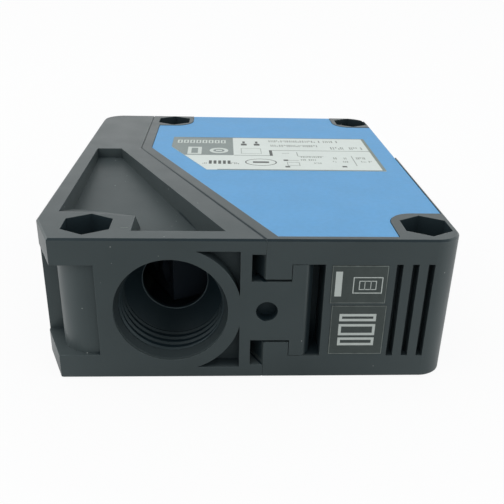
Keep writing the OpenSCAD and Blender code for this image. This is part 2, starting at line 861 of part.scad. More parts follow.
module cover_bevels() {
    both_sides() {
        straight_bevel([0, chamfer_y], [chamfer_x, 0]);
        straight_bevel([chamfer_x, 0], [seam_front_x, 0]);
        straight_bevel([0, body_l - rear_corner_r], [0, chamfer_y]);
        round_bevel([rear_corner_r, body_l - rear_corner_r], rear_corner_r, 90);
        straight_bevel([seam_rear_x, body_l], [rear_corner_r, body_l]);
        cover_seam_bevels();
    }
}

module terminal_cover() {
    color("#2e3133") place()
        difference() {
            union() {
                difference() {
                    linear_extrude(body_t) cover_plan();
                    terminal_chamber();
                    lock_windows();
                }
                seal_ring(-seam_gap, rim_in);
                tongue();
            }
            both_sides() sunken_field();
            corner_pockets();
            corner_notch();
            mounting_hole(cover_hole);
            entry_hole();
            translate([seam_front_x + dimple_in, -over, mid_z])
                rotate([-90, 0, 0])
                    cylinder(r = dimple_r, h = dimple_depth + over);
            cover_bevels();
        }
}

module cover_seal() {
    color("#1a1a1a") place() seal_ring(rim_in, partition_off);
}

module partition() {
    color("#3a3d3f") place()
        difference() {
            translate([0, 0, wall])
                linear_extrude(body_t - 2 * wall)
                    polygon(seam_band(opening_y0, opening_y1, partition_off, inside_off));
            for (i = [0:terminals - 1])
                along_seam(block_start + (i + 0.5) * terminal_pitch)
                    translate([-pin_w / 2 - 0.05, -inside_off - over, board_top])
                        cube([pin_w + 0.1, partition_t + 2 * over, pin_w]);
        }
}

module side_plate() {
    color("#3f8fd6") place()
        translate([0, 0, body_t - plate_t - type_t]) linear_extrude(plate_t) plate_plan();
}

module type_plate() {
    color("#e9eef0") place()
        translate([0, 0, body_t - type_t])
            linear_extrude(type_t)
                polygon([on_seam(type_start_y, type_seam_border),
                    on_seam(knee_y(type_seam_border), type_seam_border),
                    on_seam(type_end_y, type_seam_border),
                    [body_w - type_side_border, type_end_y],
                    [body_w - type_side_border, type_start_y]]);
}

module upper_sticker() {
    color("#3b3f41") place() sticker_block(true, sticker_t);
}

module lower_sticker() {
    color("#3b3f41") place() sticker_block(false, sticker_t);
}

module front_window() {
    color([0.16, 0.07, 0.08, 0.8]) place()
        facing_x(optical_x - window_t, optical_x) rounded_window(window_l, window_h, window_r);
}

module window_seal() {
    color("#151515") place()
        facing_x(lip_x, lip_x + window_seal_t)
            difference() {
                rounded_window(window_l, window_h, window_r);
                rounded_window(window_l - 2 * window_lip, window_h - 2 * window_lip, window_r);
            }
}

// Runs a shape along the axes of the two lens tubes
module at_lens(i) {
    translate([0, window_y + (i - 0.5) * lens_pitch, mid_z]) rotate([0, 90, 0]) children();
}

lens_x = carrier_x - filter_t - filter_step - lens_crown - lens_rim;

module optics_carrier() {
    color("#222222") place()
        difference() {
            translate([carrier_back, window_y - carrier_l / 2, wall])
                cube([tube_l, carrier_l, body_t - 2 * wall]);
            for (i = [0, 1])
                at_lens(i) {
                    translate([0, 0, carrier_back - over]) cylinder(r = tube_r, h = tube_l + 2 * over);
                    translate([0, 0, lens_x]) cylinder(r = lens_r + 0.05, h = tube_l);
                    translate([0, 0, carrier_x - filter_t]) cylinder(r = lens_r + 0.3, h = filter_t + over);
                }
        }
}

// A lens with a flat back and a round crown
module lens(i) {
    crown_r = (lens_r * lens_r + lens_crown * lens_crown) / (2 * lens_crown);
    color([0.9, 0.95, 0.95, 0.5]) place()
        at_lens(i)
            translate([0, 0, lens_x])
                intersection() {
                    cylinder(r = lens_r, h = lens_rim + lens_crown + over);
                    translate([0, 0, lens_rim + lens_crown - crown_r]) sphere(r = crown_r);
                }
}

module sender_lens() {
    lens(0);
}

module receiver_lens() {
    lens(1);
}

module filter_disc(i) {
    color([0.35, 0.32, 0.38, 0.6]) place()
        at_lens(i)
            translate([0, 0, carrier_x - filter_t])
                cylinder(r = lens_r + 0.25, h = filter_t);
}

module sender_filter() {
    filter_disc(0);
}

module receiver_filter() {
    filter_disc(1);
}

// A small package on the optics board, with a round lens
module emitter() {
    color("#b02a2a") place()
        at_lens(0)
            translate([0, 0, carrier_back]) {
                translate([-1.6, -1.6, 0]) cube([3.2, 3.2, 1]);
                intersection() {
                    translate([0, 0, 1]) sphere(r = 1.2);
                    translate([-2, -2, 0.9]) cube([4, 4, 2]);
                }
            }
}

module photodiode() {
    color("#14181c") place()
        at_lens(1)
            translate([-2.1, -1.7, carrier_back]) cube([4.2, 3.4, 1.2]);
}

module optics_board() {
    color("#1f6b45") place()
        translate([carrier_back - board_t, window_y - carrier_l / 2, wall + 0.8])
            cube([board_t, carrier_l, body_t - 2 * wall - 1.6]);
}

module main_board_plan() {
    y_high = window_y + carrier_l / 2 + board_gap;
    arm_x = control_high - board_gap;
    side_x = control_low + board_gap;
    polygon([on_seam(board_y0, board_off), [optical_x - wall - board_gap, board_y0],
        [optical_x - wall - board_gap, optics_low_y], [board_x1, optics_low_y], [board_x1, y_high],
        [arm_x, y_high], [arm_x, switch_y1], [side_x, switch_y1],
        [side_x, opening_y1 - board_gap], [seam_x(opening_y1, board_off), opening_y1 - board_gap],
        on_seam(knee_y(board_off), board_off)]);
}

module main_board() {
    color("#1f6b45") place()
        difference() {
            translate([0, 0, board_z]) linear_extrude(board_t) main_board_plan();
            pillar_cylinders(screw_r, board_z - over, board_top + over);
        }
}

module board_screws() {
    color("#b8bcc0") place()
        for (p = pillars)
            translate([p[0], p[1], 0])
                difference() {
                    union() {
                        translate([0, 0, board_z - pillar_h + 1.3])
                            cylinder(r = screw_r, h = board_top - board_z + pillar_h - 1.3);
                        translate([0, 0, board_top]) cylinder(r = screw_head_r, h = screw_head_h);
                    }
                    translate([-screw_head_r - over, -0.2, board_top + screw_head_h / 2])
                        cube([2 * screw_head_r + 2 * over, 0.4, screw_head_h]);
                }
}

module relay() {
    color("#d8dcd6") place()
        translate([pillar_x - screw_head_r - part_gap - relay_size[0], board_y0 + part_gap, board_top])
            cube(relay_size);
}

module storage_capacitor() {
    x = carrier_back - board_t - part_gap - capacitor_r;
    y = switch_y1 - switch_l - part_gap - capacitor_r;
    groove = capacitor_h / 20;
    color("#20262c") place()
        translate([x, y, board_top])
            rotate_extrude()
                polygon([[0, 0], [capacitor_r, 0], [capacitor_r, 2 * groove], [capacitor_r - groove, 3 * groove],
                    [capacitor_r, 4 * groove], [capacitor_r, capacitor_h], [0, capacitor_h]]);
}

module control_chip() {
    color("#1c1d1f") place()
        translate([seam_x(seam_knee_y, board_off) + chip_in, seam_knee_y, board_top])
            cube([chip_w, chip_w, chip_h]);
}

module terminal_block() {
    l = terminals * terminal_pitch + 1;
    color("#4b4f52") place()
        along_seam(block_start - 0.5)
            difference() {
                translate([0, -partition_off, terminal_z - block_h / 2]) cube([l, block_d, block_h]);
                for (i = [0:terminals - 1])
                    translate([0.5 + (i + 0.5) * terminal_pitch, -partition_off, terminal_z]) {
                        translate([-clamp_size[0] / 2, clamp_back, -clamp_size[2] / 2]) cube(clamp_size);
                        translate([0, clamp_back + clamp_size[1] / 2, 0])
                            rotate([-90, 0, 0])
                                cylinder(r = terminal_head_r + 0.1, h = block_d);
                        translate([0, clamp_back + clamp_size[1] / 2, 0])
                            cylinder(r = thread_r + 0.1, h = block_h);
                        translate([-pin_w / 2 - 0.05, -over, pin_z]) cube([pin_w + 0.1, 2 * over + clamp_back, pin_w]);
                    }
            }
}

// A clamp cage with its solder pin
module terminal_clamps() {
    color("#c9c2a0") place()
        for (i = [0:terminals - 1])
            along_seam(block_start + (i + 0.5) * terminal_pitch)
                translate([0, -partition_off, terminal_z]) {
                    difference() {
                        translate([-clamp_size[0] / 2, clamp_back, -clamp_size[2] / 2]) cube(clamp_size);
                        translate([clamp_wall - clamp_size[0] / 2, clamp_back + clamp_wall, -clamp_size[2]])
                            cube([clamp_size[0] - 2 * clamp_wall, clamp_size[1] - 3 * clamp_wall, 2 * clamp_size[2]]);
                        translate([0, clamp_back + clamp_size[1] / 2, 0])
                            rotate([-90, 0, 0])
                                cylinder(r = thread_r + 0.05, h = block_d);
                    }
                    translate([-pin_w / 2, -board_off + partition_off - pin_in, pin_z])
                        cube([pin_w, board_off - partition_off + pin_in + clamp_back + 0.1, pin_w]);
                }
}

module terminal_screws() {
    top = clamp_back + clamp_size[1];
    color("#c4c7c9") place()
        for (i = [0:terminals - 1])
            along_seam(block_start + (i + 0.5) * terminal_pitch)
                translate([0, -partition_off, terminal_z])
                    rotate([-90, 0, 0])
                        difference() {
                            union() {
                                translate([0, 0, thread_tip]) cylinder(r = thread_r, h = top - thread_tip);
                                translate([0, 0, top]) cylinder(r = terminal_head_r, h = terminal_head_h);
                            }
                            translate([-terminal_head_r - over, -0.25, top + terminal_head_h / 2])
                                cube([2 * terminal_head_r + 2 * over, 0.5, terminal_head_h]);
                        }
}

// An adjuster: a slotted head in its well, and a spindle down to the switch
head_y = body_l - head_well + 0.05;
module adjuster(x, shade) {
    color(shade) place()
        translate([x, head_y, mid_z])
            rotate([-90, 0, 0])
                difference() {
                    union() {
                        cylinder(r = adjuster_r, h = adjuster_t);
                        translate([0, 0, switch_y1 - spindle_in - head_y])
                            cylinder(r = spindle_r, h = head_y - switch_y1 + spindle_in + adjuster_t / 2);
                    }
                    translate([0.6 - adjuster_r, -0.35, adjuster_t - 0.7])
                        cube([2 * adjuster_r - 1.2, 0.7, adjuster_t]);
                }
}

module sensitivity_adjuster() {
    adjuster(adjusters[0], "#e6e6e2");
}

module light_dark_selector() {
    adjuster(adjusters[1], "#d9b23a");
}

// The sealing ring under an adjuster's head
module adjuster_seal(x) {
    color("#1b1b1b") place()
        translate([x, body_l - head_well - 0.85, mid_z])
            rotate([-90, 0, 0])
                difference() {
                    cylinder(r = spindle_r + 0.85, h = 0.8);
                    translate([0, 0, -over]) cylinder(r = spindle_r + 0.03, h = 3);
                }
}

module sensitivity_seal() {
    adjuster_seal(adjusters[0]);
}

module selector_seal() {
    adjuster_seal(adjusters[1]);
}

// The body of the potentiometer or switch under an adjuster
module switch_body(x, shade) {
    w = switch_w;
    l = switch_l;
    h = 2 * (mid_z - board_top);
    color(shade) place()
        difference() {
            translate([x - w / 2, switch_y1 - l, board_top]) cube([w, l, h]);
            translate([x, switch_y1 - spindle_in - 0.4, mid_z])
                rotate([-90, 0, 0])
                    cylinder(r = spindle_r + 0.3, h = spindle_in + over);
        }
}

module potentiometer() {
    switch_body(adjusters[0], "#2f5fa8");
}

module selector_switch() {
    switch_body(adjusters[1], "#3c3c40");
}

// A light pipe with a collar that sits on the inside of the wall
module light_pipe(x, tint) {
    color(tint) place()
        translate([x, control_y, mid_z])
            rotate([-90, 0, 0]) {
                translate([0, 0, -pipe_in]) cylinder(r = pipe_r, h = pipe_in + wall);
                translate([0, 0, -pipe_in / 3]) cylinder(r = collar_r, h = pipe_in / 3);
            }
}

module green_light_pipe() {
    light_pipe(indicators[0], "#3fae4a");
}

module yellow_light_pipe() {
    light_pipe(indicators[1], "#e0b020");
}

module indicator_leds() {
    color("#dcdcd2") place()
        for (x = indicators)
            translate([x - led_w / 2, control_y - pipe_in - part_gap / 5 - led_t, board_top])
                cube([led_w, led_t, mid_z - board_top + led_w / 2]);
}

housing();
terminal_cover();
cover_seal();
partition();
side_plate();
type_plate();
upper_sticker();
lower_sticker();
front_window();
window_seal();
optics_carrier();
sender_lens();
receiver_lens();
sender_filter();
receiver_filter();
emitter();
photodiode();
optics_board();
main_board();
board_screws();
relay();
storage_capacitor();
control_chip();
terminal_block();
terminal_clamps();
terminal_screws();
sensitivity_adjuster();
light_dark_selector();
sensitivity_seal();
selector_seal();
potentiometer();
selector_switch();
green_light_pipe();
yellow_light_pipe();
indicator_leds();
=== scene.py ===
import json
import math
import random

import bmesh
import bpy
from mathutils import Matrix, Vector


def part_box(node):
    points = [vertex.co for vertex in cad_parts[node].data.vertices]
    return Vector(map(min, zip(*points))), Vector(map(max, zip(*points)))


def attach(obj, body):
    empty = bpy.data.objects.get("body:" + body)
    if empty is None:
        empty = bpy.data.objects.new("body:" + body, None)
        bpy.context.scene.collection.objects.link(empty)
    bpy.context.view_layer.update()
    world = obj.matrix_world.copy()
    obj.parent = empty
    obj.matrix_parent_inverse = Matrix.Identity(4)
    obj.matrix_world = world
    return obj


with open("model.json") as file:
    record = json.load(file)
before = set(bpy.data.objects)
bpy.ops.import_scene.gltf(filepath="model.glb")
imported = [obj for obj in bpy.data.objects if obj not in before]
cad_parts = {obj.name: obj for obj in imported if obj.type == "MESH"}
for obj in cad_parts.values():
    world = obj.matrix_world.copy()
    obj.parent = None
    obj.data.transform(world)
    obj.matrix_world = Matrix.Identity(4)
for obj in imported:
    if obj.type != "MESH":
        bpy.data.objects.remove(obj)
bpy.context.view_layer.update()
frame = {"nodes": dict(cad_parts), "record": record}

MM = 0.001
SHARP_ANGLE = math.radians(30)
WELD = 1e-4
BODY = "sensor_body"


def place_of(node):
    """The lowest and highest corner of a node, in millimetres."""
    low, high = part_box(node)
    return low / MM, high / MM


plate_low, plate_high = place_of("type_plate")
upper_low, upper_high = place_of("upper_sticker")
lower_low, lower_high = place_of("lower_sticker")
cover_low, cover_high = place_of("terminal_cover")
front_y = cover_low.y
mounts = frame["record"]["mounts"]
entry_middle = [Vector(mount["pos_m"]) / MM for mount in mounts if mount["name"] == "cable_entry"][0]

nut_pockets = []
for mount in mounts:
    if mount["kind"] == "bolt_pattern":
        half = mount["dims"]["spacing_x_mm"] / 2
        for side in (-half, half):
            nut_pockets.append(Vector(mount["pos_m"]) / MM + Vector((side, 0, 0)))

# Cable entry, in millimetres; depths run from the front face
THREAD_FROM = 2.0
THREAD_TO = 7.2
THREAD_PITCH = 1.5
THREAD_WALL_R = 8.0
THREAD_CREST_R = 7.72
THREAD_FOOT_R = THREAD_WALL_R + 0.05
THREAD_HALF_CREST = 0.05 * THREAD_PITCH
THREAD_HALF_FOOT = 0.31 * THREAD_PITCH
THREAD_STEPS = 64
LEAD_IN_FROM = 0.45
LEAD_IN_R = 8.53
LEAD_IN_FOOT_R = LEAD_IN_R + 0.03
LEAD_IN_END_R = THREAD_WALL_R - 0.02
LEAD_IN_STEPS = 96
CABLE_HOLE_R = 5.3
CABLE_HOLE_Y = 10.5
LIP_R = 0.1
LIP_MIDDLE_R = CABLE_HOLE_R + 0.05
LIP_MIDDLE_Y = CABLE_HOLE_Y - 0.03
LIP_SIDES = 10
LIP_STEPS = 72

# Places where painted shade darkens the black plastic: sizes and depths in millimetres, the rest from 0 to 1
ENTRY_DEEP = (0.3, 1.2)
POCKET_REACH = 5.0
POCKET_SHARE = 0.88
WALL_TURN = (0.5, 1.5)
LOCK_X = (0.8, 11.5)
LOCK_Z = (3.0, 20.5)
LOCK_DEEP = (0.2, 0.7)
LOCK_DEPTH = 8.0
LOCK_SHARE = 0.8
GAP_REACH = 4
GAP_LIGHT = (0.5, 0.38)
GAP_SHARE = 0.6
EDGE_SLANT = (0.93, 0.97)
EDGE_SHARE = 0.95

# Seam between the cover and the housing, where a painted shade line runs, in millimetres
SEAM_FRONT = Vector((2.7, -37.25, 0))
SEAM_KNEE = Vector((-20.1, 8.95, 0))
SEAM_FADE = -18.0
SEAM_LINE = 0.56

# Moulded plastic: sizes in millimetres, the rest shares and factors
CONTACT_REACH = 0.5
CONTACT_FREE = (0.85, 0.97)
TONE_SIZE = 12
TONE_SPREAD = 0.07
SCUFF_SIZE = 1.6
SCUFF_RANGE = (0.42, 0.62)
SCUFF_LEAST = 0.25
RUB_TURN = (0.985, 0.86)
RUB_PALER = 4.5
SHINE_SIZE = 5
SHINE_SPREAD = (-0.02, 0.03)
GRAIN_FINE = 0.16
GRAIN_COARSE = 0.45
LINT_PATCH = 7
LINT_RANGE = (0.42, 0.6)
LINT_PITCH = 2.0
LINT_R = 0.1

# Foil, ink, clear parts and metal: sizes in millimetres, the rest shares
FOIL_CLOUD = 6
FOIL_FLECK = 0.8
FOIL_RANGE = (0.7, 1.3)
FOIL_SHINE = (-0.03, 0.04)
FOIL_GRAIN = 0.2
FOIL_GRAIN_DEPTH = 0.002
CLEAR_CLOUD = 6
CLEAR_DARKEST = 0.94
CLEAR_SHINE = (0, 0.03)
SHEEN_SIZE = 3
METAL_FLECK = 0.8
METAL_DARKEST = 0.8
METAL_MARKS = 0.15
METAL_MARK_DEPTH = 0.003

# Share of a noise's range that a tone runs through
MIDDLE = (0.3, 0.7)

# Studio
SKY_COLOUR = (0.96, 0.985, 1, 1)
SKY_LEVEL = 0.84
WALL_TOP = 0.22
WALL_GLOSS = 1.32
CEILING_FROM = 0.56
CEILING_GLOSS = 0.4
FLOOR_HALF = 4
FLOOR_SEEN = 0.92
FLOOR_GLOSS = 0.92
FLOOR_LIT = 0.86
FLOOR_BOUNCE = 0.3
FRONT_GLOSS = 0.0
FRONT_SIDE = (-0.99, -0.6)
LAMP_TARGET = (0, 0, 0.012)
WHITE = (1, 1, 1, 1)


# Camera at the photograph's angle

CAMERA_PLACE = (-3.884, -121.465, 60.672)
CAMERA_YAW = 0.05303834
CAMERA_PITCH = 0.43406613
CAMERA_ROLL = -0.02588110
CAMERA_LENS = 46.526


def make_camera():
    data = bpy.data.cameras.new("camera")
    data.lens = CAMERA_LENS
    data.sensor_width = 36
    data.clip_start = 0.005
    data.clip_end = 20
    forward = Vector((math.sin(CAMERA_YAW) * math.cos(CAMERA_PITCH),
                      math.cos(CAMERA_YAW) * math.cos(CAMERA_PITCH), -math.sin(CAMERA_PITCH)))
    level = Vector((math.cos(CAMERA_YAW), -math.sin(CAMERA_YAW), 0))
    down = forward.cross(level)
    right = math.cos(CAMERA_ROLL) * level + math.sin(CAMERA_ROLL) * down
    up = math.sin(CAMERA_ROLL) * level - math.cos(CAMERA_ROLL) * down
    turn = Matrix((right, up, -forward)).transposed()
    camera = bpy.data.objects.new("camera", data)
    camera.matrix_world = Matrix.Translation(Vector(CAMERA_PLACE) * MM) @ turn.to_4x4()
    bpy.context.collection.objects.link(camera)
    bpy.context.scene.camera = camera


# Node trees

class Nodes:
    """A node tree that is put together one node at a time."""

    def __init__(self, tree):
        self.tree = tree

    def node(self, kind, inputs=None, **settings):
        """A new node with its settings. Each input gets a value, or a link where a socket is given."""
        made = self.tree.nodes.new(kind)
        for name, value in settings.items():
            setattr(made, name, value)
        for name, value in (inputs or {}).items():
            if isinstance(value, bpy.types.NodeSocket):
                self.tree.links.new(value, made.inputs[name])
            else:
                made.inputs[name].default_value = value
        return made

    def math(self, operation, *values):
        return self.node("ShaderNodeMath", dict(enumerate(values)), operation=operation).outputs["Value"]

    def times(self, first, second):
        return self.math("MULTIPLY", first, second)

    def plus(self, first, second):
        return self.math("ADD", first, second)

    def within(self, value, low, high):
        """1 between two limits in millimetres, 0 elsewhere."""
        return self.math("COMPARE", value, (low + high) / 2 * MM, (high - low) / 2 * MM)

    def between(self, value, low, high, to_low=0.0, to_high=1.0, smooth=False):
        """Runs from one level to another while a value runs from one limit to another."""
        return self.node("ShaderNodeMapRange", {"Value": value, "From Min": low, "From Max": high,
                                                "To Min": to_low, "To Max": to_high},
                         interpolation_type="SMOOTHSTEP" if smooth else "LINEAR").outputs["Result"]

    def vector_node(self, operation, values):
        return self.node("ShaderNodeVectorMath", dict(enumerate(values)), operation=operation)

    def vector(self, operation, *values):
        """Vector arithmetic whose result is a vector."""
        return self.vector_node(operation, values).outputs["Vector"]

    def measure(self, operation, *values):
        """Vector arithmetic whose result is a number."""
        return self.vector_node(operation, values).outputs["Value"]

    def part(self, vector, axis):
        return self.node("ShaderNodeSeparateXYZ", {"Vector": vector}).outputs[axis]

    def either(self, factor, first, second):
        """One surface or background, or the other."""
        return self.node("ShaderNodeMixShader", {0: factor, 1: first, 2: second}).outputs[0]

    def away_from_viewer(self, direction, in_front, elsewhere):
        """One level for what lies in front of the object, on the viewer's side, and one for other sides."""
        level = self.vector("NORMALIZE", self.vector("MULTIPLY", direction, (1, 1, 0)))
        return self.between(self.part(level, "Y"), *FRONT_SIDE, in_front, elsewhere, smooth=True)


class Finish(Nodes):
    """A material whose nodes are added one by one."""

    def __init__(self, name, roughness, ior=1.5):
        self.material = bpy.data.materials.new(name)
        self.material.use_nodes = True
        super().__init__(self.material.node_tree)
        self.shader = self.tree.nodes["Principled BSDF"]
        self.set("Roughness", roughness)
        self.set("IOR", ior)
        self.place = self.node("ShaderNodeTexCoord").outputs["Object"]
        self.surface = self.node("ShaderNodeNewGeometry").outputs["Normal"]

    def set(self, socket, value):
        self.shader.inputs[socket].default_value = value

    def link(self, output, socket):
        self.tree.links.new(output, self.shader.inputs[socket])

    def noise(self, size, detail):
        """Noise whose blotches are about that many millimetres across."""
        return self.node("ShaderNodeTexNoise", {"Vector": self.place, "Scale": 1 / (size * MM),
                                                "Detail": detail}).outputs["Fac"]

    def specks(self, pitch, radius):
        """Round specks with a soft rim, 1 within a speck and 0 beyond it, one to each cell of that pitch."""
        cells = self.node("ShaderNodeTexVoronoi", {"Vector": self.place, "Scale": 1 / (pitch * MM)})
        return self.between(cells.outputs["Distance"], radius / pitch, 0.6 * radius / pitch)

    def mix(self, factor, first, second):
        """A colour between two others."""
        return self.node("ShaderNodeMix", {0: factor, 6: first, 7: second}, data_type="RGBA").outputs[2]

    def turn(self, factor, first, second):
        """A direction between two others."""
        return self.node("ShaderNodeMix", {0: factor, 4: first, 5: second}, data_type="VECTOR").outputs[1]

    def relief(self, height, depth, normal=None):
        """A bump of that depth in millimetres."""
        inputs = {"Height": height, "Distance": depth * MM, "Strength": 1.0}
        if normal:
            inputs["Normal"] = normal
        return self.node("ShaderNodeBump", inputs).outputs["Normal"]

    def soft_edges(self, radius):
        return self.node("ShaderNodeBevel", {"Radius": radius * MM}, samples=6).outputs["Normal"]

    def openness(self, distance, samples):
        """How much of the space over a point is free within that many millimetres, 0 to 1."""
        return self.node("ShaderNodeAmbientOcclusion", {"Distance": distance * MM}, samples=samples,
                         only_local=True).outputs["AO"]

    def uneven(self, value, size, spread):
        """A level that wanders between two limits round a value."""
        low, high = spread
        return self.between(self.noise(size, 3), *MIDDLE, value + low, value + high)

    def deeper_than(self, limits, share=1.0):
        """0 up to one depth behind the front face, and a share from another depth on."""
        low, high = limits
        return self.between(self.part(self.place, "Y"), (front_y + low) * MM, (front_y + high) * MM, 0, share)

    def bore_wall(self, middle, flat, radius):
        """How near a bore's middle line is, 1 or 0, and how far the surface turns to it, in metres."""
        target = tuple(value * MM * share for value, share in zip(middle, flat))
        offset = self.vector("SUBTRACT", target, self.vector("MULTIPLY", self.place, flat))
        near = self.between(self.measure("LENGTH", offset), (radius + 0.1) * MM, radius * MM)
        return near, self.measure("DOT_PRODUCT", offset, self.surface)

    def turned_enough(self, facing, share=1.0):
        low, high = WALL_TURN
        return self.between(facing, low * MM, high * MM, 0, share)

    def in_entry(self):
        """Painted shade mask: 1 on the walls of the cable entry, 0 elsewhere."""
        near, facing = self.bore_wall(entry_middle, (1, 0, 1), LEAD_IN_R + 0.1)
        ahead = self.measure("DOT_PRODUCT", self.surface, (0, -2 * MM, 0))
        turned = self.turned_enough(self.plus(facing, ahead))
        return self.times(self.times(near, self.deeper_than(ENTRY_DEEP)), turned)

    def in_nut_pocket(self, middle):
        # Painted shade mask on the walls of a nut pocket.
        near, facing = self.bore_wall(middle, (1, 1, 0), POCKET_REACH)
        return self.times(near, self.turned_enough(facing, POCKET_SHARE))

    def behind_tongue(self):
        """Painted shade in the windows, the groove and the blind hole at the cover's tongue."""
        across = self.within(self.part(self.place, "X"), *LOCK_X)
        upright = self.within(self.part(self.place, "Z"), *LOCK_Z)
        along = self.within(self.part(self.place, "Y"), front_y, front_y + LOCK_DEPTH)
        deep = self.times(self.deeper_than(LOCK_DEEP, LOCK_SHARE), along)
        return self.times(self.times(across, upright), deep)

    def in_pockets(self):
        """Where painted shade goes: high in the cable entry, the nut pockets and narrow gaps and behind the
        tongue, 0 elsewhere.
        """
        mask = self.in_entry()
        for middle in nut_pockets:
            mask = self.plus(mask, self.in_nut_pocket(middle))
        mask = self.plus(mask, self.behind_tongue())
        # Painted shade in narrow gaps, where little of the space over a point is free.
        return self.plus(mask, self.between(self.openness(GAP_REACH, 8), *GAP_LIGHT, 0, GAP_SHARE))

    def front_edges(self):
        """Painted shade line: high on the slanted faces between an upper side and a front, 0 elsewhere."""
        slant = self.measure("DOT_PRODUCT", self.surface, (0, -math.sqrt(0.5), math.sqrt(0.5)))
        return self.times(self.between(slant, *EDGE_SLANT), EDGE_SHARE)

    def on_seam(self):
        """Painted shade line: 1 on a fine line along the slanted seam on the large faces, fading to 0 towards
        the rear.
        """
        across = Vector((SEAM_KNEE.y - SEAM_FRONT.y, SEAM_FRONT.x - SEAM_KNEE.x, 0)).normalized()
        middle = across.dot(SEAM_FRONT)
        aside = self.measure("DOT_PRODUCT", self.place, across)
        line = self.within(aside, middle - SEAM_LINE / 2, middle + SEAM_LINE / 2)
        fade = self.between(self.part(self.place, "Y"), SEAM_KNEE.y * MM, SEAM_FADE * MM)
        flat = self.math("ABSOLUTE", self.part(self.surface, "Z"))
        return self.times(self.times(line, fade), self.between(flat, 0.5, 0.6))


# Materials

def rgb(red, green, blue):
    """A colour from its values on a screen, 0 to 255."""
    def linear(value):
        value = value / 255
        return value / 12.92 if value <= 0.04045 else ((value + 0.055) / 1.055) ** 2.4
    return (linear(red), linear(green), linear(blue), 1)


def shade(colour, factor):
    return tuple(min(1, part * factor) for part in colour[:3]) + (1,)


def moulded(name, colour, roughness, grain=0.006, dust=0.6, wear=0.35, edge=0.14, ior=1.5,
            gloss_tint=WHITE, painted_shade=None):
    """Moulded plastic with a fine eroded grain, rubbed outer edges and a little dust.

    Where a shade colour is given, painted shade darkens its pockets, narrow gaps, front edges and seam."""
    made = Finish(name, roughness, ior)
    made.set("Specular Tint", gloss_tint)
    outer = made.between(made.openness(CONTACT_REACH, 4), *CONTACT_FREE)
    softened = made.turn(outer, made.surface, made.soft_edges(edge))
    tone = made.between(made.noise(TONE_SIZE, 3), *MIDDLE)
    body = made.mix(tone, shade(colour, 1 - TONE_SPREAD), shade(colour, 1 + TONE_SPREAD))
    # Painted shade: the shade colour is mixed over the pockets, narrow gaps, front edges and seam line.
    if painted_shade:
        for mask in (made.in_pockets(), made.front_edges(), made.on_seam()):
            body = made.mix(mask, body, painted_shade)
    rubbed = made.between(made.measure("DOT_PRODUCT", softened, made.surface), *RUB_TURN)
    scuffs = made.between(made.noise(SCUFF_SIZE, 4), *SCUFF_RANGE, SCUFF_LEAST, 1)
    rub = made.times(made.times(rubbed, outer), made.times(scuffs, wear))
    worn = made.mix(rub, body, shade(colour, RUB_PALER))
    patches = made.between(made.noise(LINT_PATCH, 2), *LINT_RANGE)
    lint = made.times(made.times(made.specks(LINT_PITCH, LINT_R), patches), dust)
    made.link(made.mix(lint, worn, rgb(205, 210, 206)), "Base Color")
    made.link(made.uneven(roughness, SHINE_SIZE, SHINE_SPREAD), "Roughness")
    height = made.plus(made.noise(GRAIN_FINE, 1), made.noise(GRAIN_COARSE, 2))
    made.link(made.relief(height, grain, softened), "Normal")
    return made.material


def printed(name, colour, roughness, spread, ior=1.45):
    """Ink or foil with a slightly uneven tone and a fine matt grain."""
    made = Finish(name, roughness, ior)
    tone = made.between(made.plus(made.noise(FOIL_CLOUD, 3), made.noise(FOIL_FLECK, 2)), *FOIL_RANGE)
    made.link(made.mix(tone, shade(colour, 1 - spread), shade(colour, 1 + spread)), "Base Color")
    made.link(made.uneven(roughness, SHEEN_SIZE, FOIL_SHINE), "Roughness")
    made.link(made.relief(made.noise(FOIL_GRAIN, 2), FOIL_GRAIN_DEPTH), "Normal")
    return made.material


def glassy(name, colour, transmission, roughness, ior=1.5):
    """A clear or smoked part that lets light through."""
    made = Finish(name, roughness, ior)
    made.set("Transmission Weight", transmission)
    tone = made.between(made.noise(CLEAR_CLOUD, 2), *MIDDLE)
    made.link(made.mix(tone, shade(colour, CLEAR_DARKEST), colour), "Base Color")
    made.link(made.uneven(roughness, SHEEN_SIZE, CLEAR_SHINE), "Roughness")
    return made.material


def metal(name, colour, roughness):
    """Plated metal with fine turning marks."""
    made = Finish(name, roughness)
    made.set("Metallic", 1.0)
    tone = made.between(made.noise(METAL_FLECK, 3), *MIDDLE)
    made.link(made.mix(tone, shade(colour, METAL_DARKEST), colour), "Base Color")
    made.link(made.relief(made.noise(METAL_MARKS, 2), METAL_MARK_DEPTH), "Normal")
    return made.material


COOL_GLOSS = (0.84, 0.98, 1.0, 1)


